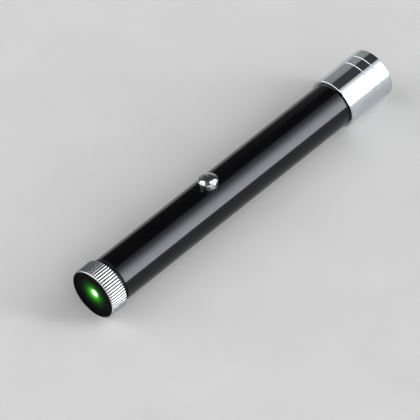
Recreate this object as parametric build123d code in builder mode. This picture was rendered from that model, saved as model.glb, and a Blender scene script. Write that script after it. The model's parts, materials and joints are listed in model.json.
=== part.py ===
from build123d import *
from math import hypot, pi, radians, sin, sqrt
import os

# A pen-shaped laser pointer that lies along X, with its beam towards +X and its button up.
# All lengths are in millimetres. A setback is measured from the front face of the head ring
# towards the tail, a height or a radius is measured from the pen's own axis, and the origin
# is on the surface that the pen lies on, below the middle of its length.

# Battery cell of the AAA size
battery_diameter = 10.4
battery_length = 44.5
battery_wrap_thickness = 0.1
battery_wrap_lip = 0.7
battery_can_wall = 0.25
battery_nub_diameter = 3.8
battery_nub_height = 1.1
battery_nub_round = 0.3
battery_brim_step = 0.7
battery_brim_thickness = 0.3
battery_seal_step = 0.1
battery_seal_height = 0.25
battery_base_step = 0.3
battery_base_height = 0.4
battery_base_chamfer = 0.2

# Fits between pieces
press_gap = 0.01
seat_gap = 0.03
slide_gap = 0.05
float_gap = 0.1
cutter_overrun = 1.0

# Barrel
bore_gap = 0.25
barrel_wall = 0.8
spigot_step = 0.3
spigot_gap = 0.3
front_neck_length = 1.3
barrel_edge_chamfer = 0.1
barrel_end_reach = 0.1

# Head ring and tail cap stand out from the barrel
fitting_step = 0.75

# Head ring
ring_length = 5.0
ring_lip_width = 0.5
ring_lip_chamfer = 0.25
ring_rear_chamfer = 0.1
ring_recess_depth = 1.7
groove_count = 56
groove_depth = 0.25
groove_cutter_reach = 0.6

# Tail cap
cap_rim_chamfer = 0.1
cap_end_radius = 0.45
cap_wall_end = 2.6
cap_hood_length = 0.93
cap_hood_gap = 0.08
cap_groove_shares = (0.5841, 0.7889)
cap_groove_width = 0.2
cap_groove_depth = 0.1
cap_seat_step = 0.65
cap_seat_gap = 0.02

# Tail thread
thread_pitch = 0.75
thread_turns = 6
thread_lead_in = 0.4
thread_runout = 0.6
thread_neck_wall = 0.3
thread_ridge_height = 0.35
thread_ridge_base = 0.5
thread_ridge_crest = 0.16
thread_ridge_sink = 0.04
thread_crest_gap = 0.1

# Aperture insert
insert_setback = 0.35
insert_flat_width = 1.3
insert_dish_diameter = 3.4
insert_dish_depth = 0.1
aperture_diameter = 2.0
aperture_cone_depth = 0.35

# Laser module housing
module_gap = 0.5
module_edge_chamfer = 0.3
module_rear_rim = 1.0
cell_bore_depth = 12.0
optics_bore_diameter = 5.2
optics_gap = 0.6

# Collimating lens and its cell
lens_diameter = 6.0
lens_edge = 1.0
lens_bulge = 0.6
lens_cell_sink = 0.7
lens_cell_length = 6.4
lens_cell_rim = 0.54
lens_cell_wall = 1.2
lens_seat_depth = 2.6
retainer_height = 0.8
retainer_wall = 0.5
wrench_slot_width = 0.8
wrench_slot_depth = 0.45

# Lens spring
lens_spring_wire = 0.4
lens_spring_turns = 4.5
lens_spring_side_gap = 0.12

# Beam expander
expander_length = 3.0
expander_wall = 0.9
expander_lens_edge = 1.3
expander_lens_dish = 0.35
expander_lens_setback = 0.3
filter_thickness = 0.5

# Crystal and its mount
crystal_mount_length = 2.1
crystal_side = 1.1
crystal_recess = 0.1
crystal_gap = 0.02

# Laser diode
diode_can_diameter = 3.6
diode_can_length = 2.3
diode_cap_wall = 0.2
diode_window_diameter = 1.6
diode_base_diameter = 5.6
diode_base_length = 1.2
diode_retainer_length = 1.8
diode_retainer_wall = 0.85
pin_count = 3
pin_diameter = 0.45
pin_circle_diameter = 2.0
pin_overlap = 1.2

# Driver board
board_length = 21.0
board_thickness = 0.8
board_side_room = 1.15
board_module_gap = 1.2
board_switch_room = 2.65

# Parts on the board
inductor_diameter = 3.4
inductor_height = 2.2
inductor_flange = 0.4
inductor_waist_diameter = 2.4
trimmer_side = 3.0
trimmer_height = 1.3
trimmer_rotor_diameter = 2.0
trimmer_rotor_height = 0.5
trimmer_slot_width = 0.4
trimmer_slot_depth = 0.25
resistor_length = 1.6
resistor_width = 0.8
resistor_height = 0.5
resistor_count = 3
resistor_gap = 0.8
chip_length = 4.9
chip_width = 3.9
chip_height = 1.45
chip_leg_count = 4
chip_leg_pitch = 1.27
chip_leg_width = 0.42
chip_leg_side_room = 0.25
chip_leg_thickness = 0.2
chip_edge_chamfer = 0.2
capacitor_length = 2.0
capacitor_width = 1.25
capacitor_height = 1.1
capacitor_gap = 1.4

# Push switch
switch_side = 6.0
switch_edge_chamfer = 0.3
switch_cover_thickness = 0.3
switch_chamber_depth = 1.6
switch_chamber_gap = 0.2
switch_leg_reach = 0.9
switch_leg_width = 0.7
switch_leg_thickness = 0.25
plunger_diameter = 3.5
plunger_flange_width = 0.35
plunger_flange_height = 0.5
plunger_clearance = 0.45
dome_rise = 0.62
dome_thickness = 0.1

# Push button
button_diameter = 5.1
button_stand = 1.52
button_rim_round = 0.3
button_dome_rise = 0.75
button_flange_width = 0.55
button_flange_height = 0.75
button_flange_gap = 0.1575
button_hole_gap = 0.1
button_travel = 0.35

# Board carrier and positive contact
carrier_gap = 0.05
carrier_module_gap = 0.2
carrier_ledge_width = 1.1
carrier_trough_room = 1.35
carrier_front_wall = 1.0
carrier_rear_wall = 1.5
contact_diameter = 4.8
contact_thickness = 0.4
tab_width = 2.0
tab_thickness = 0.3
tab_lap = 1.6

# Tail spring and its contact
spring_length = 6.3
spring_wire = 0.7
spring_mean_diameter = 6.2
spring_turns = 4.5
spring_seat_gap = 0.02
spring_contact_flange = 0.4
spring_contact_boss_height = 0.7
spring_contact_boss_gap = 0.15
spring_contact_rim_chamfer = 0.15
gap_samples = 60

# Diameters and radii that follow, from the battery outwards
bore_radius = battery_diameter / 2 + bore_gap
barrel_radius = bore_radius + barrel_wall
fitting_radius = barrel_radius + fitting_step
spigot_radius = barrel_radius - spigot_step
thread_root_radius = bore_radius + thread_neck_wall
recess_radius = fitting_radius - ring_lip_width
module_radius = bore_radius - press_gap
carrier_radius = bore_radius - carrier_gap
lens_radius = lens_diameter / 2
lens_seat_radius = lens_radius + seat_gap
lens_cell_radius = lens_seat_radius + lens_cell_rim
cell_bore_radius = lens_cell_radius + seat_gap
optics_bore_radius = optics_bore_diameter / 2
diode_bore_radius = diode_base_diameter / 2 + slide_gap
axis_height = fitting_radius

# Setbacks that follow, from the front face to the tail
shoulder_setback = ring_length + front_neck_length
spigot_setback = ring_recess_depth + spigot_gap
module_setback = ring_recess_depth + module_gap
lens_cell_setback = module_setback + lens_cell_sink
optics_setback = module_setback + cell_bore_depth
crystal_mount_setback = optics_setback + expander_length + optics_gap
diode_bore_setback = crystal_mount_setback + crystal_mount_length
diode_base_setback = diode_bore_setback + diode_can_length
diode_rear_setback = diode_base_setback + diode_base_length
diode_retainer_end = diode_rear_setback + diode_retainer_length
module_end_setback = diode_retainer_end + module_rear_rim
carrier_setback = module_end_setback + carrier_module_gap
board_setback = module_end_setback + board_module_gap
board_end_setback = board_setback + board_length
button_setback = board_end_setback - board_switch_room - switch_side / 2
carrier_web_setback = board_end_setback + float_gap
carrier_end_setback = carrier_web_setback + carrier_rear_wall
battery_setback = carrier_end_setback + contact_thickness
battery_end_setback = battery_setback + battery_length
spring_contact_rear = battery_end_setback + spring_contact_flange
cap_inner_end = spring_contact_rear + spring_length
overall_length = cap_inner_end + cap_wall_end
barrel_end_setback = battery_end_setback + barrel_end_reach
thread_length = thread_pitch * thread_turns
thread_setback = barrel_end_setback - thread_runout - thread_length
cap_step_setback = thread_setback - thread_lead_in
cap_setback = cap_step_setback - cap_hood_length
cap_length = overall_length - cap_setback
front_x = overall_length / 2

# Heights that follow, from the board to the button
board_width = 2 * bore_radius - 2 * board_side_room
board_top = -(pin_circle_diameter / 2 * sin(radians(30)) + pin_diameter / 2)
board_bottom = board_top - board_thickness
flange_radius = button_diameter / 2 + button_flange_width
flange_top = sqrt(bore_radius * bore_radius - flange_radius * flange_radius) - button_flange_gap
plunger_top = flange_top - button_flange_height
cover_top = plunger_top - plunger_clearance - button_travel
cover_foot = cover_top - switch_cover_thickness
chamber_floor = cover_foot - switch_chamber_depth
plunger_foot = chamber_floor + dome_rise + dome_thickness
button_rim_height = barrel_radius + button_stand
button_top = button_rim_height + button_dome_rise

turning_plane = Plane(origin=(front_x, 0, axis_height), x_dir=(-1, 0, 0), z_dir=(0, 1, 0))
pen_axis = Axis(origin=(front_x, 0, axis_height), direction=(-1, 0, 0))
button_axis = Axis(origin=(front_x - button_setback, 0, axis_height), direction=(0, 0, 1))


def across(setback):
    """Plane square to the pen at a setback. It faces the tail, and its Y points up."""
    return Plane(origin=(front_x - setback, 0, axis_height), x_dir=(0, -1, 0), z_dir=(-1, 0, 0))


def level(setback, height):
    """Level plane at a height over the pen's axis. Its X points to the front."""
    return Plane(origin=(front_x - setback, 0, axis_height + height))


def upright(setback):
    """Plane along the pen through its axis at a setback, for profiles turned about a vertical axis."""
    return Plane(origin=(front_x - setback, 0, axis_height), x_dir=(1, 0, 0), z_dir=(0, -1, 0))


def turn(points, mode=Mode.ADD):
    """Turn a closed outline of (setback, radius) points about the pen's axis."""
    with BuildSketch(turning_plane) as outline:
        with BuildLine():
            Polyline(*points, close=True)
        make_face()
    revolve(outline.sketch, axis=pen_axis, mode=mode)


def sleeve(start, end, inner_radius, outer_radius, mode=Mode.ADD):
    """Plain ring or disc about the pen's axis."""
    turn(((start, inner_radius), (start, outer_radius), (end, outer_radius), (end, inner_radius)), mode)


def block(setback, side, height, length, width, depth, mode=Mode.ADD):
    """Box centred at a setback and a side offset, standing up from a height."""
    with BuildSketch(level(setback, height)) as footprint:
        with Locations((0, side)):
            Rectangle(length, width)
    extrude(footprint.sketch, amount=depth, mode=mode)


def helix_wire(start, length, pitch, radius):
    """Right-handed helix about the pen's axis."""
    with BuildLine() as line:
        Helix(pitch, length, radius, center=(front_x - start, 0, axis_height), direction=(-1, 0, 0))
    return line.wires()[0]


def helix_section(path):
    """Plane square to a helix where it starts, with its X pointing away from the pen's axis."""
    start = path @ 0
    outward = Vector(0, start.Y, start.Z - axis_height).normalized()
    return Plane(origin=start, x_dir=outward, z_dir=path % 0)


def thread_ridge(start, base_radius, height):
    """Helical thread ridge. A negative height makes an inner thread's ridge."""
    path = helix_wire(start, thread_length, thread_pitch, base_radius)
    with BuildSketch(helix_section(path)) as section:
        with BuildLine():
            Polyline(
                (0, -thread_ridge_base / 2),
                (height, -thread_ridge_crest / 2),
                (height, thread_ridge_crest / 2),
                (0, thread_ridge_base / 2),
                close=True,
            )
        make_face()
    sweep(section.sketch, path=path, is_frenet=True)


def coil(start, end, wire_diameter, mean_diameter, turns):
    """Compression spring whose wire touches both of its seats."""
    length = end - start - wire_diameter
    path = helix_wire(start + wire_diameter / 2, length, length / turns, mean_diameter / 2)
    with BuildSketch(helix_section(path)) as section:
        Circle(wire_diameter / 2)
    sweep(section.sketch, path=path, is_frenet=True)


def coil_gap(start, end, wire_diameter, mean_diameter, turns):
    """Least gap between two neighbouring turns of such a spring, measured on points."""
    pitch = (end - start - wire_diameter) / turns
    gaps = []
    for step in range(-gap_samples, gap_samples + 1):
        angle = step * pi / (2 * gap_samples)
        chord = mean_diameter * sin(abs(angle) / 2)
        gaps.append(hypot(chord, pitch * (1 + angle / (2 * pi))) - wire_diameter)
    return min(gaps)


def arc_radius(chord, rise):
    """Radius of an arc with a given chord and rise."""
    return (chord * chord / 4 + rise * rise) / (2 * rise)


def arc_height(chord, rise, offset):
    """Height of such an arc over its chord, at an offset from the chord's middle."""
    radius = arc_radius(chord, rise)
    return sqrt(radius * radius - offset * offset) - (radius - rise)


def finish(builder, label):
    """Name a finished piece and write it."""
    builder.part.label = label
    export_step(builder.part, f"parts/{label}.step")


os.makedirs("parts", exist_ok=True)

# Barrel: one lacquered tube, necked at both ends, with the button's hole
with BuildPart() as barrel:
    turn((
        (spigot_setback, bore_radius),
        (spigot_setback, spigot_radius),
        (shoulder_setback, spigot_radius),
        (shoulder_setback, barrel_radius - barrel_edge_chamfer),
        (shoulder_setback + barrel_edge_chamfer, barrel_radius),
        (cap_step_setback - barrel_edge_chamfer, barrel_radius),
        (cap_step_setback, barrel_radius - barrel_edge_chamfer),
        (cap_step_setback, thread_root_radius),
        (barrel_end_setback, thread_root_radius),
        (barrel_end_setback, bore_radius),
    ))
    ridge_foot = thread_root_radius - thread_ridge_sink
    thread_ridge(thread_setback, ridge_foot, thread_ridge_height + thread_ridge_sink)
    with BuildSketch(level(button_setback, 0)):
        Circle(button_diameter / 2 + button_hole_gap)
    extrude(amount=barrel_radius + cutter_overrun, mode=Mode.SUBTRACT)
finish(barrel, "barrel")

# Head ring: straight knurling right round, with a crest at the bottom and an open recess in front
with BuildPart() as head_ring:
    groove_centre_radius = fitting_radius - groove_depth + groove_cutter_reach
    turn((
        (0, recess_radius),
        (0, fitting_radius - ring_lip_chamfer),
        (ring_lip_chamfer, fitting_radius),
        (ring_length - ring_rear_chamfer, fitting_radius),
        (ring_length, fitting_radius - ring_rear_chamfer),
        (ring_length, spigot_radius + press_gap),
        (ring_recess_depth, spigot_radius + press_gap),
        (ring_recess_depth, recess_radius),
    ))
    with BuildSketch(across(-cutter_overrun)):
        with PolarLocations(groove_centre_radius, groove_count, start_angle=180 / groove_count):
            Rectangle(groove_cutter_reach * sqrt(2), groove_cutter_reach * sqrt(2), rotation=45)
    extrude(amount=ring_length + 2 * cutter_overrun, mode=Mode.SUBTRACT)
finish(head_ring, "head_ring")

# Aperture insert: the black face inside the ring, dished towards the beam's opening
with BuildPart() as aperture_insert:
    insert_radius = recess_radius - seat_gap
    turn((
        (insert_setback, insert_radius),
        (insert_setback, insert_radius - insert_flat_width),
        (insert_setback + insert_dish_depth, insert_dish_diameter / 2),
        (insert_setback + insert_dish_depth + aperture_cone_depth, aperture_diameter / 2),
        (ring_recess_depth, aperture_diameter / 2),
        (ring_recess_depth, insert_radius),
    ))
finish(aperture_insert, "aperture_insert")

# Module housing: the brass body that holds the optics and the diode
with BuildPart() as module_housing:
    turn((
        (module_setback, cell_bore_radius),
        (module_setback, module_radius - module_edge_chamfer),
        (module_setback + module_edge_chamfer, module_radius),
        (module_end_setback - module_edge_chamfer, module_radius),
        (module_end_setback, module_radius - module_edge_chamfer),
        (module_end_setback, diode_bore_radius),
        (diode_bore_setback, diode_bore_radius),
        (diode_bore_setback, optics_bore_radius),
        (optics_setback, optics_bore_radius),
        (optics_setback, cell_bore_radius),
    ))
finish(module_housing, "module_housing")

# Lens cell: a tube with the lens seat in front and two slots for a pin wrench
lens_seat_setback = lens_cell_setback + lens_seat_depth
lens_cell_end = lens_cell_setback + lens_cell_length
with BuildPart() as lens_cell:
    turn((
        (lens_cell_setback, lens_seat_radius),
        (lens_cell_setback, lens_cell_radius),
        (lens_cell_end, lens_cell_radius),
        (lens_cell_end, lens_cell_radius - lens_cell_wall),
        (lens_seat_setback, lens_cell_radius - lens_cell_wall),
        (lens_seat_setback, lens_seat_radius),
    ))
    with BuildSketch(across(lens_cell_setback)):
        Rectangle(2 * lens_cell_radius + cutter_overrun, wrench_slot_width)
    extrude(amount=wrench_slot_depth, mode=Mode.SUBTRACT)
finish(lens_cell, "lens_cell")

# Collimating lens: flat behind and domed in front
lens_edge_setback = lens_seat_setback - lens_edge
with BuildPart() as collimating_lens:
    with BuildSketch(turning_plane):
        with BuildLine():
            Polyline(
                (lens_edge_setback - lens_bulge, 0),
                (lens_seat_setback, 0),
                (lens_seat_setback, lens_radius),
                (lens_edge_setback, lens_radius),
            )
            RadiusArc(
                (lens_edge_setback, lens_radius),
                (lens_edge_setback - lens_bulge, 0),
                -arc_radius(lens_diameter, lens_bulge),
            )
        make_face()
    revolve(axis=pen_axis)
finish(collimating_lens, "collimating_lens")

# Lens retainer: the black ring that keeps the lens on its seat
with BuildPart() as lens_retainer:
    retainer_inner = lens_radius - retainer_wall
    retainer_seat = lens_edge_setback - arc_height(lens_diameter, lens_bulge, retainer_inner)
    sleeve(retainer_seat - retainer_height, retainer_seat, retainer_inner, lens_radius)
finish(lens_retainer, "lens_retainer")

# Lens spring: presses the cell's thread towards the front
lens_spring_diameter = 2 * cell_bore_radius - lens_spring_wire - 2 * lens_spring_side_gap
with BuildPart() as lens_spring:
    coil(lens_cell_end, optics_setback, lens_spring_wire, lens_spring_diameter, lens_spring_turns)
finish(lens_spring, "lens_spring")

# Expander holder: a brass bush pressed into the middle bore
expander_end = optics_setback + expander_length
expander_inner = optics_bore_radius - expander_wall
with BuildPart() as expander_holder:
    sleeve(optics_setback, expander_end, expander_inner, optics_bore_radius - press_gap)
finish(expander_holder, "expander_holder")

# Expander lens: a small lens, hollow on its front side
expander_lens_front = optics_setback + expander_lens_setback
with BuildPart() as expander_lens:
    expander_lens_radius = expander_inner - press_gap
    with BuildSketch(turning_plane):
        with BuildLine():
            Polyline(
                (expander_lens_front, expander_lens_radius),
                (expander_lens_front + expander_lens_edge, expander_lens_radius),
                (expander_lens_front + expander_lens_edge, 0),
                (expander_lens_front + expander_lens_dish, 0),
            )
            RadiusArc(
                (expander_lens_front + expander_lens_dish, 0),
                (expander_lens_front, expander_lens_radius),
                arc_radius(2 * expander_lens_radius, expander_lens_dish),
            )
        make_face()
    revolve(axis=pen_axis)
finish(expander_lens, "expander_lens")

# Infrared filter: a thin disc of glass behind the expander lens
with BuildPart() as infrared_filter:
    sleeve(expander_end - filter_thickness, expander_end, 0, expander_lens_radius)
finish(infrared_filter, "infrared_filter")

# Crystal mount: a brass disc with a square hole
with BuildPart() as crystal_mount:
    sleeve(crystal_mount_setback, diode_bore_setback, 0, optics_bore_radius - press_gap)
    with BuildSketch(across(crystal_mount_setback)):
        Rectangle(crystal_side + 2 * crystal_gap, crystal_side + 2 * crystal_gap)
    extrude(amount=crystal_mount_length, mode=Mode.SUBTRACT)
finish(crystal_mount, "crystal_mount")

# Laser crystal: the bar that turns the diode's light green
with BuildPart() as laser_crystal:
    with BuildSketch(across(crystal_mount_setback)):
        Rectangle(crystal_side, crystal_side)
    extrude(amount=crystal_mount_length - crystal_recess)
finish(laser_crystal, "laser_crystal")

# Diode base: a steel disc seated in the housing's rear bore
with BuildPart() as diode_base:
    sleeve(diode_base_setback, diode_rear_setback, 0, diode_base_diameter / 2)
finish(diode_base, "diode_base")

# Diode can: a thin cap with an opening for its window
diode_can_inner = diode_can_diameter / 2 - diode_cap_wall
diode_can_front = diode_base_setback - diode_can_length + diode_cap_wall
with BuildPart() as diode_can:
    turn((
        (diode_can_front, diode_window_diameter / 2),
        (diode_can_front, diode_can_diameter / 2),
        (diode_base_setback, diode_can_diameter / 2),
        (diode_base_setback, diode_can_inner),
        (diode_can_front + diode_cap_wall, diode_can_inner),
        (diode_can_front + diode_cap_wall, diode_window_diameter / 2),
    ))
finish(diode_can, "diode_can")

# Diode window: a pane of glass behind the can's opening
with BuildPart() as diode_window:
    window_setback = diode_can_front + diode_cap_wall
    sleeve(window_setback, window_setback + diode_cap_wall, 0, diode_can_inner - seat_gap)
finish(diode_window, "diode_window")

# Diode retainer: the ring that holds the diode in the housing
with BuildPart() as diode_retainer:
    retainer_outer = diode_bore_radius - press_gap
    sleeve(diode_rear_setback, diode_retainer_end, retainer_outer - diode_retainer_wall, retainer_outer)
finish(diode_retainer, "diode_retainer")

# Diode pins: three wires, of which the lower two lie on the board's pads
with BuildPart() as diode_pins:
    with BuildSketch(across(diode_rear_setback)):
        with PolarLocations(pin_circle_diameter / 2, pin_count, start_angle=90):
            Circle(pin_diameter / 2)
    extrude(amount=board_setback + pin_overlap - diode_rear_setback)
finish(diode_pins, "diode_pins")

# Driver board
board_middle = board_setback + board_length / 2
with BuildPart() as driver_board:
    block(board_middle, 0, board_bottom, board_length, board_width, board_thickness)
finish(driver_board, "driver_board")

# The inductor, the trimmer and the resistors share the room between the pins and the switch
room_start = board_setback + pin_overlap
room_end = button_setback - switch_side / 2
room_gap = (room_end - room_start - inductor_diameter - trimmer_side - resistor_width) / 4
inductor_setback = room_start + room_gap + inductor_diameter / 2
trimmer_setback = inductor_setback + inductor_diameter / 2 + room_gap + trimmer_side / 2
resistor_setback = room_end - room_gap - resistor_width / 2

# Inductor: a bobbin with a wound waist
with BuildPart() as board_inductor:
    inductor_radius = inductor_diameter / 2
    with BuildSketch(level(inductor_setback, board_top)):
        Circle(inductor_radius)
    extrude(amount=inductor_height)
    with BuildSketch(level(inductor_setback, board_top + inductor_flange)):
        Circle(inductor_radius + cutter_overrun)
        Circle(inductor_waist_diameter / 2, mode=Mode.SUBTRACT)
    extrude(amount=inductor_height - 2 * inductor_flange, mode=Mode.SUBTRACT)
finish(board_inductor, "board_inductor")

# Trimmer: a small adjusting resistor with a slotted rotor that turns in its body
rotor_radius = trimmer_rotor_diameter / 2
rotor_floor = board_top + trimmer_height - trimmer_rotor_height
with BuildPart() as trimmer_body:
    block(trimmer_setback, 0, board_top, trimmer_side, trimmer_side, trimmer_height)
    with BuildSketch(level(trimmer_setback, rotor_floor)):
        Circle(rotor_radius + slide_gap)
    extrude(amount=trimmer_rotor_height, mode=Mode.SUBTRACT)
finish(trimmer_body, "trimmer_body")

with BuildPart() as trimmer_rotor:
    with BuildSketch(level(trimmer_setback, rotor_floor)):
        Circle(rotor_radius)
    extrude(amount=trimmer_rotor_height)
    rotor_top = rotor_floor + trimmer_rotor_height
    block(
        trimmer_setback, 0, rotor_top - trimmer_slot_depth,
        trimmer_rotor_diameter, trimmer_slot_width, trimmer_slot_depth, Mode.SUBTRACT,
    )
finish(trimmer_rotor, "trimmer_rotor")

# Switch body: a plastic box with the snap dome's chamber
plunger_flange_radius = plunger_diameter / 2 + plunger_flange_width
switch_chamber_radius = plunger_flange_radius + switch_chamber_gap
with BuildPart() as switch_body:
    block(button_setback, 0, board_top, switch_side, switch_side, cover_foot - board_top)
    chamfer(switch_body.edges().filter_by(Axis.Z), switch_edge_chamfer)
    with BuildSketch(level(button_setback, chamber_floor)):
        Circle(switch_chamber_radius)
    extrude(amount=switch_chamber_depth, mode=Mode.SUBTRACT)
finish(switch_body, "switch_body")

# Switch cover: a steel plate with the plunger's hole
with BuildPart() as switch_cover:
    block(button_setback, 0, cover_foot, switch_side, switch_side, switch_cover_thickness)
    chamfer(switch_cover.edges().filter_by(Axis.Z), switch_edge_chamfer)
    with BuildSketch(level(button_setback, cover_foot)):
        Circle(plunger_diameter / 2 + slide_gap)
    extrude(amount=switch_cover_thickness, mode=Mode.SUBTRACT)
finish(switch_cover, "switch_cover")

# Switch legs: four tinned feet on the board, beside the switch's body
with BuildPart() as switch_legs:
    leg_side = switch_side / 2 + switch_leg_reach / 2
    leg_setback_offset = switch_side / 2 - switch_leg_width
    for along in (-leg_setback_offset, leg_setback_offset):
        for side in (-leg_side, leg_side):
            block(
                button_setback + along, side, board_top,
                switch_leg_width, switch_leg_reach, switch_leg_thickness,
            )
finish(switch_legs, "switch_legs")

# Plunger: rides under the button, its flange below the switch's cover
with BuildPart() as switch_plunger:
    with BuildSketch(level(button_setback, plunger_foot)):
        Circle(plunger_diameter / 2)
    extrude(amount=plunger_top - plunger_foot)
    with BuildSketch(level(button_setback, cover_foot - slide_gap - plunger_flange_height)):
        Circle(plunger_flange_radius)
    extrude(amount=plunger_flange_height)
finish(switch_plunger, "switch_plunger")

# Snap dome: a thin sprung disc between the plunger and the chamber's floor
with BuildPart() as switch_dome:
    dome_rim = switch_chamber_radius - switch_chamber_gap
    dome_radius = arc_radius(2 * dome_rim, dome_rise)
    with BuildSketch(upright(button_setback)):
        with BuildLine():
            dome_top = chamber_floor + dome_rise
            Line((0, dome_top), (0, plunger_foot))
            RadiusArc((0, plunger_foot), (dome_rim, chamber_floor + dome_thickness), dome_radius)
            Line((dome_rim, chamber_floor + dome_thickness), (dome_rim, chamber_floor))
            RadiusArc((dome_rim, chamber_floor), (0, dome_top), -dome_radius)
        make_face()
    revolve(axis=button_axis)
finish(switch_dome, "switch_dome")

# Button: a domed push button, held in the barrel by its flange
with BuildPart() as button:
    button_radius = button_diameter / 2
    rim_height = button_rim_height - button_rim_round
    with BuildSketch(upright(button_setback)):
        with BuildLine():
            shoulder = (button_radius - button_rim_round, button_rim_height)
            Polyline(
                (0, button_top),
                (0, plunger_top),
                (flange_radius, plunger_top),
                (flange_radius, flange_top),
                (button_radius, flange_top),
                (button_radius, rim_height),
            )
            RadiusArc((button_radius, rim_height), shoulder, -button_rim_round)
            RadiusArc(shoulder, (0, button_top), -arc_radius(2 * shoulder[0], button_dome_rise))
        make_face()
    revolve(axis=button_axis)
finish(button, "button")

# Resistors: three in a row across the board, between the trimmer and the switch
with BuildPart() as board_resistors:
    for index in range(resistor_count):
        offset = (index - (resistor_count - 1) / 2) * (resistor_length + resistor_gap)
        block(resistor_setback, offset, board_top, resistor_width, resistor_length, resistor_height)
finish(board_resistors, "board_resistors")

# Driver chip: a small chip under the board, with four legs on each side
trough_width = board_width - 2 * carrier_ledge_width
with BuildPart() as driver_chip:
    chip_bottom = board_bottom - chip_height
    block(board_middle, 0, chip_bottom, chip_length, chip_width, chip_height - chip_leg_thickness)
    chamfer(driver_chip.edges().group_by(Axis.Z)[0], chip_edge_chamfer)
    for index in range(chip_leg_count):
        along = (index - (chip_leg_count - 1) / 2) * chip_leg_pitch
        block(
            board_middle + along, 0, board_bottom - chip_leg_thickness,
            chip_leg_width, trough_width - 2 * chip_leg_side_room, chip_leg_thickness,
        )
finish(driver_chip, "driver_chip")

# Capacitors: one at each end of the chip, under the board
with BuildPart() as board_capacitors:
    capacitor_offset = chip_length / 2 + capacitor_gap + capacitor_width / 2
    for along in (-capacitor_offset, capacitor_offset):
        block(
            board_middle + along, 0, board_bottom - capacitor_height,
            capacitor_width, capacitor_length, capacitor_height,
        )
finish(board_capacitors, "board_capacitors")

# Board carrier: a plastic tray that centres the board and backs the battery's contact
trough_depth = chip_height + carrier_trough_room
with BuildPart() as board_carrier:
    sleeve(carrier_setback, carrier_end_setback, 0, carrier_radius)
    open_start = carrier_setback - cutter_overrun
    open_length = carrier_web_setback - open_start
    block(
        open_start + open_length / 2, 0, board_top,
        open_length, 2 * bore_radius + cutter_overrun, bore_radius + cutter_overrun, Mode.SUBTRACT,
    )
    slot_start = board_setback - float_gap
    slot_length = carrier_web_setback - slot_start
    block(
        slot_start + slot_length / 2, 0, board_bottom,
        slot_length, board_width + 2 * slide_gap, board_thickness, Mode.SUBTRACT,
    )
    trough_start = carrier_setback + carrier_front_wall
    trough_length = carrier_web_setback - carrier_front_wall - trough_start
    block(
        trough_start + trough_length / 2, 0, board_bottom - trough_depth,
        trough_length, trough_width, trough_depth, Mode.SUBTRACT,
    )
    pin_channel_width = pin_circle_diameter + pin_diameter + 2 * float_gap
    pin_channel_length = slot_start - carrier_setback + seat_gap
    block(
        carrier_setback + pin_channel_length / 2 - seat_gap, 0, board_top - float_gap,
        pin_channel_length, pin_channel_width, float_gap, Mode.SUBTRACT,
    )
    block(
        carrier_end_setback - carrier_rear_wall / 2, 0, board_top,
        carrier_rear_wall + 2 * seat_gap, tab_width + 2 * seat_gap, tab_thickness + seat_gap, Mode.SUBTRACT,
    )
finish(board_carrier, "board_carrier")

# Positive contact: a disc against the battery's nub, with a tab that laps onto the board
with BuildPart() as positive_contact:
    sleeve(carrier_end_setback, battery_setback, 0, contact_diameter / 2)
    tab_length = carrier_end_setback - board_end_setback + tab_lap
    block(carrier_end_setback - tab_length / 2, 0, board_top, tab_length, tab_width, tab_thickness)
finish(positive_contact, "positive_contact")

# Battery: steel can with its filling, plain wrap, nub, seal and base
can_setback = battery_setback + battery_nub_height
can_end = battery_end_setback - battery_base_height - battery_seal_height
can_radius = battery_diameter / 2 - battery_wrap_thickness
core_radius = can_radius - battery_can_wall - press_gap
lip_radius = can_radius - battery_wrap_lip
seal_radius = lip_radius - battery_seal_step
with BuildPart() as cell_can:
    turn((
        (can_setback, 0),
        (can_setback, can_radius),
        (can_end, can_radius),
        (can_end, can_radius - battery_can_wall),
        (can_setback + battery_can_wall, can_radius - battery_can_wall),
        (can_setback + battery_can_wall, 0),
    ))
finish(cell_can, "cell_can")

with BuildPart() as cell_core:
    sleeve(can_setback + battery_can_wall, can_end, 0, core_radius)
finish(cell_core, "cell_core")

with BuildPart() as cell_wrap:
    turn((
        (can_setback - battery_wrap_thickness, lip_radius),
        (can_setback - battery_wrap_thickness, battery_diameter / 2),
        (can_end + battery_wrap_thickness, battery_diameter / 2),
        (can_end + battery_wrap_thickness, lip_radius),
        (can_end, lip_radius),
        (can_end, can_radius),
        (can_setback, can_radius),
        (can_setback, lip_radius),
    ))
finish(cell_wrap, "cell_wrap")

with BuildPart() as cell_positive_cap:
    nub_radius = battery_nub_diameter / 2
    brim_radius = lip_radius - battery_brim_step
    brim_setback = can_setback - battery_brim_thickness
    turn((
        (battery_setback, 0),
        (battery_setback, nub_radius - battery_nub_round),
        (battery_setback + battery_nub_round, nub_radius),
        (brim_setback, nub_radius),
        (brim_setback, brim_radius),
        (can_setback, brim_radius),
        (can_setback, 0),
    ))
finish(cell_positive_cap, "cell_positive_cap")

with BuildPart() as cell_seal:
    sleeve(can_end, can_end + battery_seal_height, 0, seal_radius)
finish(cell_seal, "cell_seal")

with BuildPart() as cell_base:
    base_radius = seal_radius - battery_base_step
    turn((
        (can_end + battery_seal_height, 0),
        (can_end + battery_seal_height, base_radius),
        (battery_end_setback - battery_base_chamfer, base_radius),
        (battery_end_setback, base_radius - battery_base_chamfer),
        (battery_end_setback, 0),
    ))
finish(cell_base, "cell_base")

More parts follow.
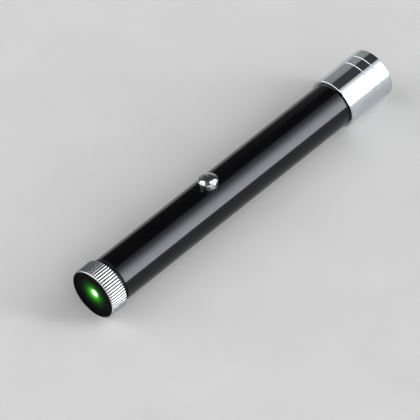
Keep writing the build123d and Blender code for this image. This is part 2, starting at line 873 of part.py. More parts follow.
# Tail cap: hood over the barrel's end, inner thread, spring chamber and end wall
with BuildPart() as tail_cap:
    hood_radius = barrel_radius + cap_hood_gap
    thread_bore_radius = thread_root_radius + thread_ridge_height + thread_crest_gap
    chamber_radius = bore_radius - cap_seat_step
    chamber_setback = barrel_end_setback + cap_seat_gap
    with BuildSketch(turning_plane):
        with BuildLine():
            round_start = (overall_length - cap_end_radius, fitting_radius)
            round_end = (overall_length, fitting_radius - cap_end_radius)
            Polyline(
                (overall_length, fitting_radius - cap_end_radius),
                (overall_length, 0),
                (cap_inner_end, 0),
                (cap_inner_end, chamber_radius),
                (chamber_setback, chamber_radius),
                (chamber_setback, thread_bore_radius),
                (cap_step_setback, thread_bore_radius),
                (cap_step_setback, hood_radius),
                (cap_setback, hood_radius),
                (cap_setback, fitting_radius - cap_rim_chamfer),
                (cap_setback + cap_rim_chamfer, fitting_radius),
                round_start,
            )
            RadiusArc(round_start, round_end, cap_end_radius)
        make_face()
    revolve(axis=pen_axis)
    ridge_foot = thread_bore_radius + thread_ridge_sink
    thread_ridge(thread_setback + thread_pitch / 2, ridge_foot, -thread_ridge_height)
    for groove_share in cap_groove_shares:
        groove_middle = cap_setback + cap_length * groove_share
        turn((
            (groove_middle - cap_groove_width / 2, fitting_radius),
            (groove_middle, fitting_radius - cap_groove_depth),
            (groove_middle + cap_groove_width / 2, fitting_radius),
            (groove_middle, fitting_radius + cutter_overrun),
        ), Mode.SUBTRACT)
finish(tail_cap, "tail_cap")

# Spring contact: the brass button that the spring holds against the battery's base
with BuildPart() as spring_contact:
    boss_radius = (spring_mean_diameter - spring_wire) / 2 - spring_contact_boss_gap
    contact_radius = (spring_mean_diameter + spring_wire) / 2
    boss_end = spring_contact_rear + spring_contact_boss_height
    turn((
        (battery_end_setback, 0),
        (battery_end_setback, contact_radius - spring_contact_rim_chamfer),
        (battery_end_setback + spring_contact_rim_chamfer, contact_radius),
        (spring_contact_rear, contact_radius),
        (spring_contact_rear, boss_radius),
        (boss_end, boss_radius),
        (boss_end, 0),
    ))
finish(spring_contact, "spring_contact")

# Tail spring: presses the battery forward
with BuildPart() as tail_spring:
    spring_end = cap_inner_end - spring_seat_gap
    coil(spring_contact_rear, spring_end, spring_wire, spring_mean_diameter, spring_turns)
finish(tail_spring, "tail_spring")

least_gap = coil_gap(spring_contact_rear, spring_end, spring_wire, spring_mean_diameter, spring_turns)
print(f"length {overall_length:.3f} mm, fittings {2 * fitting_radius:.3f} mm across")
print(f"button at {front_x - button_setback:.3f} mm along X")
print(f"tail spring: least gap between turns {least_gap:.3f} mm")
least_gap = coil_gap(lens_cell_end, optics_setback, lens_spring_wire, lens_spring_diameter, lens_spring_turns)
print(f"lens spring: least gap between turns {least_gap:.3f} mm")
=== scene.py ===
import json
import math

import bmesh
import bpy
from mathutils import Matrix, Vector


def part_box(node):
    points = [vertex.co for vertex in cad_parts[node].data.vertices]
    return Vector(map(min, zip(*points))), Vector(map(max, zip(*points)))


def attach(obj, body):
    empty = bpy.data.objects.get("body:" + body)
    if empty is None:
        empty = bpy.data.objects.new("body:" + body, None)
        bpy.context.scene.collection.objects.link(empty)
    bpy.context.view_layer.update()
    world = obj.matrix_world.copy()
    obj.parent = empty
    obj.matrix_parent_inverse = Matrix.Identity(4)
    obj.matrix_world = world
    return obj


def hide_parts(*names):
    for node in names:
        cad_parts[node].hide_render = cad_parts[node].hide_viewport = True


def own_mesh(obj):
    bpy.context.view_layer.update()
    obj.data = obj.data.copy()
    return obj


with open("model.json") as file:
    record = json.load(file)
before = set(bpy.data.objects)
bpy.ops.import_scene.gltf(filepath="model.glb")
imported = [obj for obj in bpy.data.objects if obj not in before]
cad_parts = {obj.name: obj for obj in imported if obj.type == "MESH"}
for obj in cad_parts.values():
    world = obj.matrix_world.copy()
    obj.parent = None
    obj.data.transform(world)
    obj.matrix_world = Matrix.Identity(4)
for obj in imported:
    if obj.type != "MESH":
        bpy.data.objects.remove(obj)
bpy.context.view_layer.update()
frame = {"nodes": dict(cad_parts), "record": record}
nodes = frame["nodes"]

MM = 0.001

# The pen lies along X. Its axis is this high over the floor, and the beam leaves at +X.
AXIS_HEIGHT = 0.007
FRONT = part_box("head_ring")[1].x

# Sizes of the head ring in millimetres. Each radius is from the pen's own axis.
RING_LENGTH = 5.0
RING_RADIUS = 7.0
RING_BORE = 5.96
RECESS_DEPTH = 1.7
RECESS_RADIUS = 6.5
GROOVE_FOOT = 6.75
# Below this radius the grooves are darkened: painted shade with some dirt.
GRIME_AND_SHADE_TOP = 6.93
CREST_COUNT = 56
CREST_ROUND = 0.3446
COLUMNS = 12

# Most of a noise's values lie between these.
NOISE_LOW = 0.3
NOISE_HIGH = 0.7

BRASS = {"low": (0.62, 0.42, 0.16), "high": (0.80, 0.60, 0.28), "rough": (0.20, 0.34)}
GLOW_STRENGTH = 1.15
SAME_POINT = 0.002 * MM


def link_or_set(tree, socket, value):
    """Feed a socket from another socket, or write a plain value into it."""
    if isinstance(value, bpy.types.NodeSocket):
        tree.links.new(value, socket)
    else:
        socket.default_value = value


def add(tree, kind, feeds=None, **settings):
    """Add a node, set its own options, then feed its inputs by name or by place."""
    made = tree.nodes.new(kind)
    for option, value in settings.items():
        setattr(made, option, value)
    for key, value in (feeds or {}).items():
        link_or_set(tree, made.inputs[key], value)
    return made


def calc(tree, operation, first, second=0.0, third=0.0):
    """One sum, as a socket."""
    return add(tree, "ShaderNodeMath", {0: first, 1: second, 2: third}, operation=operation).outputs[0]


def rescale(tree, value, low, high, to_low=0.0, to_high=1.0, smooth=False):
    """Map a value from one range to another, held at its ends."""
    feeds = {"Value": value, "From Min": low, "From Max": high, "To Min": to_low, "To Max": to_high}
    kind = "SMOOTHSTEP" if smooth else "LINEAR"
    return add(tree, "ShaderNodeMapRange", feeds, interpolation_type=kind).outputs["Result"]


def ramp(tree, value, stops):
    """Colour ramp from (place, colour) stops. A plain number makes a grey."""
    made = add(tree, "ShaderNodeValToRGB", {"Fac": value})
    band = made.color_ramp
    band.interpolation = "LINEAR"
    for index, (place, colour) in enumerate(stops):
        stop = band.elements[index] if index < 2 else band.elements.new(place)
        stop.position = place
        shade = colour if isinstance(colour, tuple) else (colour, colour, colour)
        stop.color = (*shade, 1.0)
    return made.outputs["Color"]


def blend_colour(tree, amount, first, second):
    """Mix two colours by an amount."""
    made = add(tree, "ShaderNodeMix", data_type="RGBA")
    link_or_set(tree, made.inputs["Factor"], amount)
    for socket, value in zip((made.inputs[6], made.inputs[7]), (first, second)):
        link_or_set(tree, socket, value if isinstance(value, bpy.types.NodeSocket) else (*value, 1.0))
    return made.outputs[2]


def both(tree, first, second):
    """Product of two masks."""
    return calc(tree, "MULTIPLY", first, second)


def tinted(tree, pattern, low, high):
    """Colour that runs from one to the other as a noise does."""
    return ramp(tree, pattern, ((NOISE_LOW, low), (NOISE_HIGH, high)))


def graded(tree, pattern, low, high):
    """Number that runs from one to the other as a noise does."""
    return rescale(tree, pattern, NOISE_LOW, NOISE_HIGH, low, high)


def setback_mask(tree, parts, behind, ahead):
    """Mask that rises over a stretch given as two setbacks from the front face, in millimetres."""
    return rescale(tree, parts["X"], FRONT - behind * MM, FRONT - ahead * MM)


def radius_mask(tree, radius, none, full):
    """Mask that rises from one radius to another, in millimetres."""
    return rescale(tree, radius, none * MM, full * MM)


def light_the_studio():
    """A soft studio in a dim room, drawn by direction round the pen and along it.

    A long low strip light stands at the pen's right, with a dim panel round it, and a tall narrow light at
    its left front.
    """
    world = bpy.data.worlds.new("studio_light")
    bpy.context.scene.world = world
    world.use_nodes = True
    tree = world.node_tree
    tree.nodes.clear()
    direction = add(tree, "ShaderNodeTexCoord").outputs["Generated"]
    parts = add(tree, "ShaderNodeSeparateXYZ", {"Vector": direction}).outputs
    around = rescale(tree, calc(tree, "ARCTAN2", parts["Z"], parts["Y"]), -math.pi, math.pi)

    def at(degrees):
        """Place in a ramp of an angle over the horizon at the pen's right."""
        return 0.5 + degrees / 360

    def between(low, high, edge):
        """Mask of the directions whose share along the pen is in a span with soft ends."""
        return both(
            tree,
            rescale(tree, parts["X"], low - edge, low + edge, smooth=True),
            rescale(tree, parts["X"], high + edge, high - edge, smooth=True),
        )

    strength = 12.8
    panel_span = (-0.93, 0.02, 0.03)
    strip_span = (-0.585, -0.38, 0.02)
    front_span = (0.12, 0.90, 0.03)
    left_span = (0.20, 0.87, 0.02)
    # The tail cap mirrors this end of the strip, and the barrel mirrors the rest of it.
    tail_span = (-0.585, -0.5108, 0.0012)
    # The left light's lower edge slants. Its edges are angles round the pen, in degrees.
    left_slant = (115.0, 75.0)
    left_top = (177.0, 175.0)
    left_glow = (0.17, 0.17, 0.17)

    # Each ramp starts dim, because the floor's far edge leaves a sliver under the horizon in view.
    under = (0.4995, 0.035)
    over = 0.5005
    gap = ((at(84), 0.005), (at(127), 0.005))
    room = ramp(tree, around, (
        (0.0, 0.035), under, (over, 0.018), (at(50), 0.012), (at(80), 0.005), (at(150), 0.005),
        (1.0, 0.018),
    ))
    right_panel = ramp(tree, around, (under, (over, 0.125), (at(83), 0.125), *gap, (1.0, 0.018)))
    strip = (
        under, (over, 0.98), (at(15), 1.0), (at(25), 0.95), (at(34), 0.84), (at(43), 0.62),
        (at(52), 0.38), (at(62), 0.19), (at(71), 0.088), (at(82), 0.052), *gap,
    )
    barrel_strip = ramp(tree, around, (*strip, (1.0, 0.0055)))
    tail_strip = ramp(tree, around, (
        *strip, (at(130), 0.026), (at(150), 0.032), (at(172), 0.031), (1.0, 0.035),
    ))
    front_panel = ramp(tree, around, (under, (over, 0.17), (at(52), 0.17), (at(56), 0.012), (1.0, 0.018)))

    shade = blend_colour(tree, between(*panel_span), room, right_panel)
    shade = blend_colour(tree, between(*strip_span), shade, barrel_strip)
    shade = blend_colour(tree, between(*tail_span), shade, tail_strip)
    shade = blend_colour(tree, between(*front_span), shade, front_panel)
    turn = calc(tree, "MULTIPLY_ADD", around, 360.0, -180.0)
    lowest = rescale(tree, parts["X"], left_span[0], left_span[1], *left_slant)
    over_slant = rescale(tree, calc(tree, "SUBTRACT", turn, lowest), -1.0, 1.0)
    left = both(tree, both(tree, between(*left_span), over_slant), rescale(tree, turn, *left_top))
    shade = blend_colour(tree, left, shade, left_glow)
    back = add(tree, "ShaderNodeBackground", {"Color": shade, "Strength": strength})
    out = add(tree, "ShaderNodeOutputWorld")
    tree.links.new(back.outputs["Background"], out.inputs["Surface"])


def lay_the_floor():
    """Plain pale floor with a faint mottle."""
    side = 24.0
    bpy.ops.object.select_all(action="DESELECT")
    bpy.ops.mesh.primitive_plane_add(size=side, location=(0.0, 0.0, 0.0))
    floor = bpy.context.active_object
    floor.name = "floor"
    material, tree, coat = new_material("pale_floor")
    grain = noise(tree, place(tree), scale=40.0, detail=3.0)
    link_or_set(tree, coat.inputs["Base Color"], tinted(tree, grain, 0.57, 0.60))
    coat.inputs["Roughness"].default_value = 0.75
    floor.data.materials.append(material)


def set_the_camera():
    """The photograph's viewpoint, found by a fit of the pen's outlines."""
    eye = (FRONT + 0.50889, 0.60795, 0.79499)
    view = bpy.data.cameras.new("camera")
    view.lens = 385.7
    view.sensor_width = 36.0
    camera = bpy.data.objects.new("camera", view)
    bpy.context.scene.collection.objects.link(camera)
    right = Vector((-0.685, 0.7242, -0.0793)).normalized()
    back = Vector((0.4836, 0.5335, 0.6939)).normalized()
    up = back.cross(right).normalized()
    camera.matrix_world = Matrix.Translation(eye) @ Matrix((
        (right.x, up.x, back.x),
        (right.y, up.y, back.y),
        (right.z, up.z, back.z),
    )).to_4x4()
    bpy.context.scene.camera = camera


def new_material(name):
    """An empty material with one shader, ready to be fed."""
    material = bpy.data.materials.new(name)
    material.use_nodes = True
    tree = material.node_tree
    tree.nodes.clear()
    coat = add(tree, "ShaderNodeBsdfPrincipled")
    out = add(tree, "ShaderNodeOutputMaterial")
    tree.links.new(coat.outputs["BSDF"], out.inputs["Surface"])
    return material, tree, coat


def shader_of(material):
    """The material's one shader."""
    return next(item for item in material.node_tree.nodes if item.type == "BSDF_PRINCIPLED")


def place(tree, stretch=(1.0, 1.0, 1.0), move=(0.0, 0.0, 0.0)):
    """Object coordinates, stretched for a pattern with a direction."""
    coords = add(tree, "ShaderNodeTexCoord").outputs["Object"]
    if stretch == (1.0, 1.0, 1.0) and move == (0.0, 0.0, 0.0):
        return coords
    feeds = {"Vector": coords, "Location": move, "Scale": stretch}
    return add(tree, "ShaderNodeMapping", feeds).outputs["Vector"]


def noise(tree, coords, scale, detail=2.0, roughness=0.5, distortion=0.0):
    """Noise from 0 to 1, as a socket."""
    feeds = {
        "Vector": coords,
        "Scale": scale,
        "Detail": detail,
        "Roughness": roughness,
        "Distortion": distortion,
    }
    return add(tree, "ShaderNodeTexNoise", feeds).outputs["Fac"]


def bump(tree, coat, height, distance, strength):
    """Feed the shader's normal from a height."""
    made = add(tree, "ShaderNodeBump", {"Height": height, "Distance": distance, "Strength": strength})
    tree.links.new(made.outputs["Normal"], coat.inputs["Normal"])


def from_middle(tree, first, second):
    """Distance from the point where both of two coordinates are zero."""
    squares = calc(tree, "ADD", both(tree, first, first), both(tree, second, second))
    return calc(tree, "SQRT", squares)


def pen_radius(tree):
    """Distance from the pen's own axis, in metres, and the place it is worked out from."""
    parts = add(tree, "ShaderNodeSeparateXYZ", {"Vector": place(tree)}).outputs
    rise = calc(tree, "SUBTRACT", parts["Z"], AXIS_HEIGHT)
    return from_middle(tree, parts["Y"], rise), parts


def black_lacquer():
    """Gloss black lacquer over brass: a slight orange peel and hairline marks from handling."""
    material, tree, coat = new_material("gloss_black_lacquer")
    tone = noise(tree, place(tree), scale=90.0, detail=4.0)
    black = tinted(tree, tone, (0.001, 0.001, 0.0013), (0.0022, 0.0022, 0.0026))
    link_or_set(tree, coat.inputs["Base Color"], black)
    smears = noise(tree, place(tree, (0.35, 1.0, 1.0)), scale=260.0, detail=5.0, roughness=0.6)
    hairlines = noise(tree, place(tree, (0.03, 1.0, 1.0)), scale=9000.0, detail=2.0)
    wear = calc(tree, "MULTIPLY", smears, hairlines)
    polish = rescale(tree, wear, 0.12, 0.42, 0.075, 0.14)
    # The narrow neck behind the head ring is matte.
    radius, parts = pen_radius(tree)
    neck = both(tree, radius_mask(tree, radius, 6.04, 5.98), setback_mask(tree, parts, 6.5, 6.4))
    neck_roughness = 0.45
    link_or_set(tree, coat.inputs["Roughness"], calc(tree, "MULTIPLY_ADD", neck, neck_roughness, polish))
    coat.inputs["IOR"].default_value = 1.335
    coat.inputs["Specular Tint"].default_value = (0.88, 0.925, 1.0, 1.0)
    peel = noise(tree, place(tree), scale=1400.0, detail=1.0)
    bump(tree, coat, peel, distance=0.0025 * MM, strength=0.5)
    return material


def chrome(name, lathe_marks=True):
    """Bright chrome plate with the fine lines of turning and polishing under it."""
    material, tree, coat = new_material(name)
    coat.inputs["Metallic"].default_value = 1.0
    tone = noise(tree, place(tree), scale=150.0, detail=4.0)
    plate = tinted(tree, tone, (0.545, 0.585, 0.61), (0.60, 0.645, 0.67))
    link_or_set(tree, coat.inputs["Base Color"], plate)
    stretch = (1.0, 0.02, 0.02) if lathe_marks else (1.0, 1.0, 1.0)
    lines = noise(tree, place(tree, stretch), scale=6000.0, detail=3.0, roughness=0.6)
    haze = noise(tree, place(tree), scale=500.0, detail=4.0, roughness=0.6)
    wear = calc(tree, "MULTIPLY", lines, haze)
    link_or_set(tree, coat.inputs["Roughness"], rescale(tree, wear, 0.1, 0.45, 0.035, 0.11))
    bump(tree, coat, lines, distance=0.0008 * MM, strength=0.6)
    return material


def knurled_chrome():
    """Worn chrome over straight knurling: painted shade with some dirt down in the grooves, and a black
    flat in front.
    """
    material = chrome("knurled_chrome")
    tree = material.node_tree
    coat = shader_of(material)
    radius, parts = pen_radius(tree)
    lip = both(tree, setback_mask(tree, parts, 0.28, 0.22), radius_mask(tree, radius, 6.755, 6.765))
    # The chrome is bare on the crests above this radius and on the front chamfer. Below it the grooves take
    # painted shade.
    crest = radius_mask(tree, radius, GRIME_AND_SHADE_TOP - 0.03, GRIME_AND_SHADE_TOP)
    bare_chrome = calc(tree, "MAXIMUM", crest, lip)
    knurl_mottle = noise(tree, place(tree, (0.4, 1.0, 1.0)), scale=2200.0, detail=4.0, roughness=0.6)
    # Black on the painted flat in front of the crests. Dark grey, not metallic, on the groove flanks:
    # painted shade with some dirt.
    flat = tinted(tree, knurl_mottle, (0.003, 0.003, 0.003), (0.012, 0.011, 0.010))
    groove_shade = tinted(tree, knurl_mottle, (0.10, 0.10, 0.102), (0.15, 0.147, 0.144))
    foot = blend_colour(tree, radius_mask(tree, radius, 6.738, GROOVE_FOOT), flat, groove_shade)
    worn = tinted(tree, knurl_mottle, (0.43, 0.455, 0.47), (0.48, 0.505, 0.52))
    link_or_set(tree, coat.inputs["Base Color"], blend_colour(tree, bare_chrome, foot, worn))
    polish = coat.inputs["Roughness"].links[0].from_socket
    crest_dullness = 0.13
    grime_dullness = 0.45
    dull = rescale(tree, bare_chrome, 1.0, 0.0, crest_dullness, grime_dullness)
    link_or_set(tree, coat.inputs["Roughness"], calc(tree, "ADD", polish, dull))
    link_or_set(tree, coat.inputs["Metallic"], bare_chrome)
    coat.inputs["Specular IOR Level"].default_value = 0.08
    return material


def beam_glow(tree, radius):
    """Green light of the beam on what surrounds it: white-green at the axis, fading to nothing."""
    reach = 4.7 * MM
    return ramp(tree, rescale(tree, radius, 0.0, reach), (
        (0.0, (0.95, 1.0, 0.93)),
        (0.213, (0.86, 1.0, 0.84)),
        (0.234, (0.24, 0.75, 0.15)),
        (0.277, (0.07, 0.42, 0.03)),
        (0.383, (0.022, 0.22, 0.009)),
        (0.51, (0.007, 0.095, 0.003)),
        (0.66, (0.002, 0.035, 0.001)),
        (0.81, (0.0005, 0.011, 0.0)),
        (1.0, (0.0, 0.0, 0.0)),
    ))


def black_face():
    """Satin black face, turned in fine rings, lit green where the beam comes out."""
    material, tree, coat = new_material("satin_black_face")
    radius, parts = pen_radius(tree)
    turned = add(tree, "ShaderNodeCombineXYZ", {"X": radius, "Y": parts["X"]}).outputs[0]
    rings = noise(tree, turned, scale=9000.0, detail=2.0)
    black = tinted(tree, rings, (0.0015, 0.0015, 0.002), (0.004, 0.004, 0.005))
    link_or_set(tree, coat.inputs["Base Color"], black)
    link_or_set(tree, coat.inputs["Roughness"], graded(tree, rings, 0.42, 0.54))
    bump(tree, coat, rings, distance=0.004 * MM, strength=0.4)
    coat.inputs["Specular IOR Level"].default_value = 0.02
    link_or_set(tree, coat.inputs["Emission Color"], beam_glow(tree, radius))
    coat.inputs["Emission Strength"].default_value = GLOW_STRENGTH
    return material


def turned_metal(name, low, high, rough, along="X"):
    """Bare turned metal with tool lines and a light tarnish."""
    material, tree, coat = new_material(name)
    coat.inputs["Metallic"].default_value = 1.0
    tarnish = noise(tree, place(tree), scale=420.0, detail=5.0, roughness=0.65)
    link_or_set(tree, coat.inputs["Base Color"], tinted(tree, tarnish, low, high))
    stretch = (1.0, 0.03, 0.03) if along == "X" else (0.03, 0.03, 1.0)
    lines = noise(tree, place(tree, stretch), scale=7000.0, detail=3.0)
    link_or_set(tree, coat.inputs["Roughness"], graded(tree, lines, *rough))
    bump(tree, coat, lines, distance=0.004 * MM, strength=0.5)
    return material


def lens_glass():
    """Coated lens glass, lit from behind by the beam."""
    material, tree, coat = new_material("coated_lens_glass")
    radius, _ = pen_radius(tree)
    haze = noise(tree, place(tree), scale=600.0, detail=3.0)
    coated = tinted(tree, haze, (0.86, 0.95, 0.90), (0.93, 0.98, 0.95))
    link_or_set(tree, coat.inputs["Base Color"], coated)
    link_or_set(tree, coat.inputs["Roughness"], graded(tree, haze, 0.01, 0.04))
    coat.inputs["IOR"].default_value = 1.52
    coat.inputs["Transmission Weight"].default_value = 1.0
    reach = 3.0 * MM
    beam = ramp(tree, rescale(tree, radius, 0.0, reach), (
        (0.0, (0.95, 1.0, 0.93)),
        (0.5, (0.86, 1.0, 0.84)),
        (0.8, (0.5, 0.95, 0.45)),
        (1.0, (0.1, 0.6, 0.05)),
    ))
    link_or_set(tree, coat.inputs["Emission Color"], beam)
    coat.inputs["Emission Strength"].default_value = GLOW_STRENGTH
    return material


def lit_brass():
    """Turned brass of the head end. Round the lens it is bathed in the beam's light."""
    material = turned_metal("lit_brass", **BRASS)
    tree = material.node_tree
    coat = shader_of(material)
    radius, parts = pen_radius(tree)
    bathed = both(tree, radius_mask(tree, radius, 3.8, 3.7), setback_mask(tree, parts, 4.8, 4.4))
    metal = coat.inputs["Base Color"].links[0].from_socket
    unlit = (0.0, 0.0, 0.0)
    glow = (0.84, 1.0, 0.82)
    link_or_set(tree, coat.inputs["Base Color"], blend_colour(tree, bathed, metal, (0.05, 0.06, 0.04)))
    link_or_set(tree, coat.inputs["Emission Color"], blend_colour(tree, bathed, unlit, glow))
    coat.inputs["Emission Strength"].default_value = 1.0
    return material


def tinted_glass(name, low, high, ior):
    """Glass or crystal with a faint cloud in its colour."""
    material, tree, coat = new_material(name)
    cloud = noise(tree, place(tree), scale=1500.0, detail=3.0)
    link_or_set(tree, coat.inputs["Base Color"], tinted(tree, cloud, low, high))
    link_or_set(tree, coat.inputs["Roughness"], graded(tree, cloud, 0.02, 0.06))
    coat.inputs["IOR"].default_value = ior
    coat.inputs["Transmission Weight"].default_value = 1.0
    return material


def moulded(name, low, high, rough, grain=5000.0, depth=0.006 * MM):
    """Moulded plastic or fired ceramic: mottled, with a fine grain."""
    material, tree, coat = new_material(name)
    mottle = noise(tree, place(tree), scale=700.0, detail=4.0)
    link_or_set(tree, coat.inputs["Base Color"], tinted(tree, mottle, low, high))
    skin = noise(tree, place(tree), scale=grain, detail=3.0, roughness=0.6)
    link_or_set(tree, coat.inputs["Roughness"], graded(tree, skin, *rough))
    bump(tree, coat, skin, distance=depth, strength=0.5)
    return material


def part_tinned(material, mask_of):
    """Turn some of a moulded piece into tinned metal, by a mask made from its own coordinates."""
    tree = material.node_tree
    coat = shader_of(material)
    parts = add(tree, "ShaderNodeSeparateXYZ", {"Vector": place(tree)}).outputs
    mask = mask_of(tree, parts)
    body = coat.inputs["Base Color"].links[0].from_socket
    solder = noise(tree, place(tree), scale=2500.0, detail=2.0)
    tin = tinted(tree, solder, (0.62, 0.62, 0.60), (0.74, 0.74, 0.73))
    link_or_set(tree, coat.inputs["Base Color"], blend_colour(tree, mask, body, tin))
    link_or_set(tree, coat.inputs["Metallic"], mask)
    return material


def board():
    """Green circuit board: raised copper tracks under the resist."""
    material, tree, coat = new_material("green_board")
    feeds = {
        "Vector": place(tree, (1.0, 1.0, 0.0)),
        "Scale": 260.0,
        "Mortar Size": 0.035,
        "Mortar Smooth": 0.2,
        "Bias": 0.0,
        "Brick Width": 0.9,
        "Row Height": 0.28,
    }
    tracks = add(tree, "ShaderNodeTexBrick", feeds, offset=0.37, squash=1.6).outputs["Fac"]
    mottle = noise(tree, place(tree), scale=900.0, detail=3.0)
    resist = tinted(tree, mottle, (0.012, 0.10, 0.035), (0.020, 0.14, 0.05))
    over_copper = (0.045, 0.26, 0.09)
    link_or_set(tree, coat.inputs["Base Color"], blend_colour(tree, tracks, resist, over_copper))
    link_or_set(tree, coat.inputs["Roughness"], graded(tree, mottle, 0.28, 0.4))
    bump(tree, coat, tracks, distance=0.03 * MM, strength=0.6)
    return material


def wound_core():
    """Ferrite bobbin with copper wire round its waist."""
    low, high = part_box("board_inductor")
    middle = (low + high) / 2
    flange = 0.4 * MM
    edge = 0.02 * MM
    turns_per_metre = 42000.0
    material, tree, coat = new_material("wound_ferrite")
    coords = place(tree, move=(-middle.x, -middle.y, 0.0))
    parts = add(tree, "ShaderNodeSeparateXYZ", {"Vector": coords}).outputs
    wire = radius_mask(tree, from_middle(tree, parts["X"], parts["Y"]), 1.30, 1.22)
    inside = both(
        tree,
        rescale(tree, parts["Z"], low.z + flange - edge, low.z + flange + edge),
        rescale(tree, parts["Z"], high.z - flange + edge, high.z - flange - edge),
    )
    winding = both(tree, wire, inside)
    turns = calc(tree, "SINE", calc(tree, "MULTIPLY", parts["Z"], turns_per_metre))
    # Each turn of wire is painted bright along its middle and dark between turns: a painted highlight and
    # painted shade.
    shine = rescale(tree, turns, -1.0, 1.0)
    copper = ramp(tree, shine, ((0.0, (0.25, 0.08, 0.03)), (1.0, (0.72, 0.30, 0.14))))
    mottle = noise(tree, place(tree), scale=1800.0, detail=4.0)
    core = tinted(tree, mottle, (0.05, 0.05, 0.055), (0.10, 0.10, 0.105))
    link_or_set(tree, coat.inputs["Base Color"], blend_colour(tree, winding, core, copper))
    link_or_set(tree, coat.inputs["Metallic"], winding)
    link_or_set(tree, coat.inputs["Roughness"], graded(tree, mottle, 0.35, 0.55))
    bump(tree, coat, calc(tree, "MULTIPLY", turns, winding), distance=0.02 * MM, strength=0.8)
    return material


def shrink_wrap():
    """Plain shrunk sleeve on the battery, with faint creases and a lighter band at the nub's end."""
    material, tree, coat = new_material("battery_sleeve")
    sleeve_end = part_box("cell_wrap")[1].x
    band_start = sleeve_end - 8.5 * MM
    band_full = sleeve_end - 8.3 * MM
    parts = add(tree, "ShaderNodeSeparateXYZ", {"Vector": place(tree)}).outputs
    band = rescale(tree, parts["X"], band_start, band_full)
    cloud = noise(tree, place(tree), scale=300.0, detail=3.0)
    blue = tinted(tree, cloud, (0.03, 0.11, 0.22), (0.05, 0.16, 0.30))
    link_or_set(tree, coat.inputs["Base Color"], blend_colour(tree, band, blue, (0.55, 0.56, 0.58)))
    along = place(tree, (0.3, 1.0, 1.0))
    creases = noise(tree, along, scale=900.0, detail=2.0, roughness=0.4, distortion=0.8)
    link_or_set(tree, coat.inputs["Roughness"], graded(tree, creases, 0.18, 0.3))
    bump(tree, coat, creases, distance=0.01 * MM, strength=0.4)
    return material


def beyond(limit):
    """Mask of what lies further than a limit to either side of the pen's middle plane."""
    def mask(tree, parts):
        return calc(tree, "GREATER_THAN", calc(tree, "ABSOLUTE", parts["Y"]), limit)
    return mask


def resistor_ends(tree, parts):
    """Mask of both ends of each resistor in the row, whose middles are one pitch apart."""
    pitch = 2.4 * MM
    row_shift = 6.0 * MM
    body_half = 0.5 * MM
    along = calc(tree, "MODULO", calc(tree, "ADD", parts["Y"], row_shift), pitch)
    from_resistor = calc(tree, "ABSOLUTE", calc(tree, "SUBTRACT", along, pitch / 2))
    return calc(tree, "GREATER_THAN", from_resistor, body_half)


def finish_the_nodes():
    """Give each CAD node its material."""
    chip = moulded("chip_epoxy", (0.02, 0.02, 0.02), (0.04, 0.04, 0.04), rough=(0.5, 0.65))
    capacitor = moulded("capacitor_body", (0.46, 0.33, 0.19), (0.60, 0.44, 0.27), rough=(0.4, 0.5))
    resistor = moulded("resistor_body", (0.03, 0.03, 0.035), (0.06, 0.06, 0.07), rough=(0.3, 0.45))
    slot_finish = {
        "black_lacquer": black_lacquer(),
        "chrome": chrome("chrome_plate"),
        "black_face": black_face(),
        "brass": turned_metal("turned_brass", **BRASS),
        "steel": turned_metal("plain_steel", (0.50, 0.50, 0.50), (0.64, 0.64, 0.63), rough=(0.25, 0.38)),
        "spring_steel": turned_metal(
            "spring_wire", (0.58, 0.58, 0.58), (0.72, 0.72, 0.71), rough=(0.16, 0.28)),
        "clear_glass": lens_glass(),
        "filter_glass": tinted_glass("filter_glass", (0.45, 0.78, 0.70), (0.55, 0.85, 0.78), ior=1.52),
        "crystal": tinted_glass("laser_crystal", (0.72, 0.55, 0.85), (0.82, 0.66, 0.92), ior=1.8),
        "board_green": board(),
        "chip_black": part_tinned(chip, beyond(1.96 * MM)),
        "switch_black": moulded(
            "switch_plastic", (0.03, 0.03, 0.035), (0.05, 0.05, 0.055), rough=(0.4, 0.55)),
        "switch_cover": turned_metal(
            "tinned_cover", (0.55, 0.55, 0.54), (0.68, 0.68, 0.67), rough=(0.22, 0.36), along="Z"),
        "ferrite": wound_core(),
        "capacitor_tan": part_tinned(capacitor, beyond(0.7 * MM)),
        "resistor_dark": part_tinned(resistor, resistor_ends),
        "trimmer_white": moulded(
            "trimmer_plastic", (0.74, 0.74, 0.70), (0.84, 0.84, 0.80), rough=(0.3, 0.42)),
        "carrier_plastic": moulded(
            "carrier_plastic", (0.62, 0.60, 0.54), (0.74, 0.72, 0.66), rough=(0.4, 0.55)),
        "battery_steel": turned_metal(
            "nickel_plate", (0.58, 0.58, 0.57), (0.70, 0.70, 0.69), rough=(0.18, 0.3)),
        "battery_wrap": shrink_wrap(),
        "battery_core": moulded(
            "battery_filling", (0.04, 0.04, 0.04), (0.09, 0.09, 0.085), rough=(0.8, 0.95),
            grain=3000.0, depth=0.03 * MM),
        "battery_seal": moulded(
            "battery_seal", (0.16, 0.16, 0.165), (0.23, 0.23, 0.235), rough=(0.45, 0.6)),
    }
    glowing_brass = lit_brass()
    own_finish = {
        "lens_cell": glowing_brass,
        "module_housing": glowing_brass,
        "button": chrome("button_chrome", lathe_marks=False),
    }
    for row in frame["record"]["subparts"]:
        name = row["node"]
        finish = own_finish.get(name, slot_finish[row["material_slot"]])
        slots = nodes[name].data.materials
        for index in range(len(slots)):
            slots[index] = finish


def begin_turned(name, points, radius, centre, turn=(0.0, 0.0, 0.0)):
    """Lay the first circle of a turned piece, and have it selected in edit mode."""
    bpy.ops.object.select_all(action="DESELECT")
    bpy.ops.mesh.primitive_circle_add(vertices=points, radius=radius, location=centre, rotation=turn)
    piece = bpy.context.active_object
    piece.name = name
    bpy.ops.object.transform_apply(location=True, rotation=True, scale=True)
    bpy.ops.object.mode_set(mode="EDIT")
    bpy.ops.mesh.select_mode(type="VERT")
    bpy.ops.mesh.select_all(action="SELECT")
    return piece


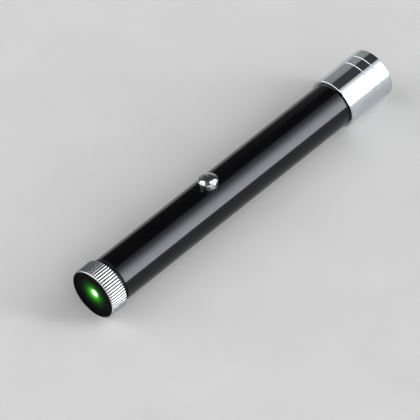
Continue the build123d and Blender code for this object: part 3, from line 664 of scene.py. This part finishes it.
def finish_turned(piece, smooth_degrees, material):
    """Turn the faces outwards, leave edit mode, smooth the piece and give it its material."""
    bpy.ops.mesh.select_all(action="SELECT")
    bpy.ops.mesh.normals_make_consistent(inside=False)
    bpy.ops.object.mode_set(mode="OBJECT")
    bpy.ops.object.shade_smooth_by_angle(angle=math.radians(smooth_degrees))
    piece.data.materials.append(material)


def pick(mesh, wanted):
    """In edit mode, select the points whose place passes a test, and the edges and faces between them."""
    body = bmesh.from_edit_mesh(mesh)
    for point in body.verts:
        point.select_set(wanted(point.co))
    body.select_flush_mode()
    bmesh.update_edit_mesh(mesh)


def squeeze(setback, share):
    """Bring what is selected nearer to the pen's axis, or further out."""
    middle = (FRONT - setback * MM, 0.0, AXIS_HEIGHT)
    bpy.ops.transform.resize(value=(1.0, share, share), center_override=middle)


def in_column(column, setback, radius):
    """Test for the ring's points at a setback and a radius, this many columns aside of a crest's middle."""
    def wanted(point):
        rise = point.z - AXIS_HEIGHT
        turn = math.atan2(rise, point.y) / (2 * math.pi) * CREST_COUNT * COLUMNS
        step = round(turn) % COLUMNS
        if min(step, COLUMNS - step) != column:
            return False
        if abs(FRONT - point.x - setback * MM) >= SAME_POINT:
            return False
        return abs(math.hypot(point.y, rise) - radius * MM) < SAME_POINT
    return wanted


def knurled_ring():
    """Head ring with rounded crests: one turned body, its grooves pressed in column by column."""
    # Points of the outline as setback and radius, in millimetres
    front = ((RECESS_DEPTH, RECESS_RADIUS), (0.03, RECESS_RADIUS), (0.0, 6.53), (0.0, 6.74))
    outside = (
        (0.02, 6.77), (0.10, 6.85), (0.18, 6.93), (0.25, 6.98), (0.32, RING_RADIUS),
        (4.90, RING_RADIUS), (4.96, 6.98), (RING_LENGTH, 6.93), (RING_LENGTH, GROOVE_FOOT),
    )
    bore = ((RING_LENGTH, RING_BORE), (RECESS_DEPTH, RING_BORE), (RECESS_DEPTH, RECESS_RADIUS))
    profile = front + outside + bore
    start, radius = profile[0]
    first_middle = (FRONT - start * MM, 0.0, AXIS_HEIGHT)
    facing_along = (0.0, math.pi / 2, 0.0)
    ring = begin_turned("knurled_ring", CREST_COUNT * COLUMNS, radius * MM, first_middle, facing_along)
    for (before, radius_before), (setback, radius) in zip(profile, profile[1:]):
        step = ((before - setback) * MM, 0.0, 0.0)
        bpy.ops.mesh.extrude_region_move(TRANSFORM_OT_translate={"value": step})
        squeeze(setback, radius / radius_before)
    bpy.ops.mesh.select_all(action="SELECT")
    bpy.ops.mesh.remove_doubles(threshold=SAME_POINT)

    half_pitch = math.pi * RING_RADIUS / CREST_COUNT
    touching = 0.0001
    for column in range(COLUMNS // 2 + 1):
        aside = half_pitch * column / (COLUMNS / 2)
        if aside < CREST_ROUND / math.sqrt(2):
            level = RING_RADIUS - CREST_ROUND + math.sqrt(CREST_ROUND ** 2 - aside ** 2)
        else:
            level = GROOVE_FOOT + half_pitch - aside
        for setback, radius in sorted(outside):
            if radius > level + touching:
                pick(ring.data, in_column(column, setback, radius))
                squeeze(setback, level / radius)
    bpy.ops.mesh.select_all(action="SELECT")
    bpy.ops.mesh.remove_doubles(threshold=SAME_POINT / 2)
    finish_turned(ring, 32, knurled_chrome())
    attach(ring, "barrel")
    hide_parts("head_ring")


def snap_dome():
    """Snap dome under the plunger, turned as one thin sheet."""
    low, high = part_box("switch_dome")
    middle_x = (low.x + high.x) / 2
    rim = (high.x - low.x) / 2
    sheet = 0.1 * MM
    rise = high.z - low.z - sheet
    hub_share = 0.02
    steps = 10
    shares = [hub_share + (1.0 - hub_share) * step / steps for step in range(steps + 1)]
    under = [(share, low.z + rise * (1.0 - share ** 2)) for share in shares]
    over = [(share, height + sheet) for share, height in reversed(under)]
    profile = under + over
    dome = begin_turned("snap_dome", 64, hub_share * rim, (middle_x, 0.0, under[0][1]))
    for (share_before, height_before), (share, height) in zip(profile, profile[1:]):
        step = (0.0, 0.0, height - height_before)
        bpy.ops.mesh.extrude_region_move(TRANSFORM_OT_translate={"value": step})
        wider = share / share_before
        bpy.ops.transform.resize(value=(wider, wider, 1.0), center_override=(middle_x, 0.0, height))
    bpy.ops.mesh.select_all(action="SELECT")
    bpy.ops.mesh.fill_holes(sides=0)
    finish_turned(dome, 40, nodes["switch_dome"].data.materials[0])
    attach(dome, "barrel")
    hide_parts("switch_dome")
    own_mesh(dome)


light_the_studio()
lay_the_floor()
set_the_camera()
finish_the_nodes()
knurled_ring()
snap_dome()

bpy.context.scene.view_settings.view_transform = "Standard"
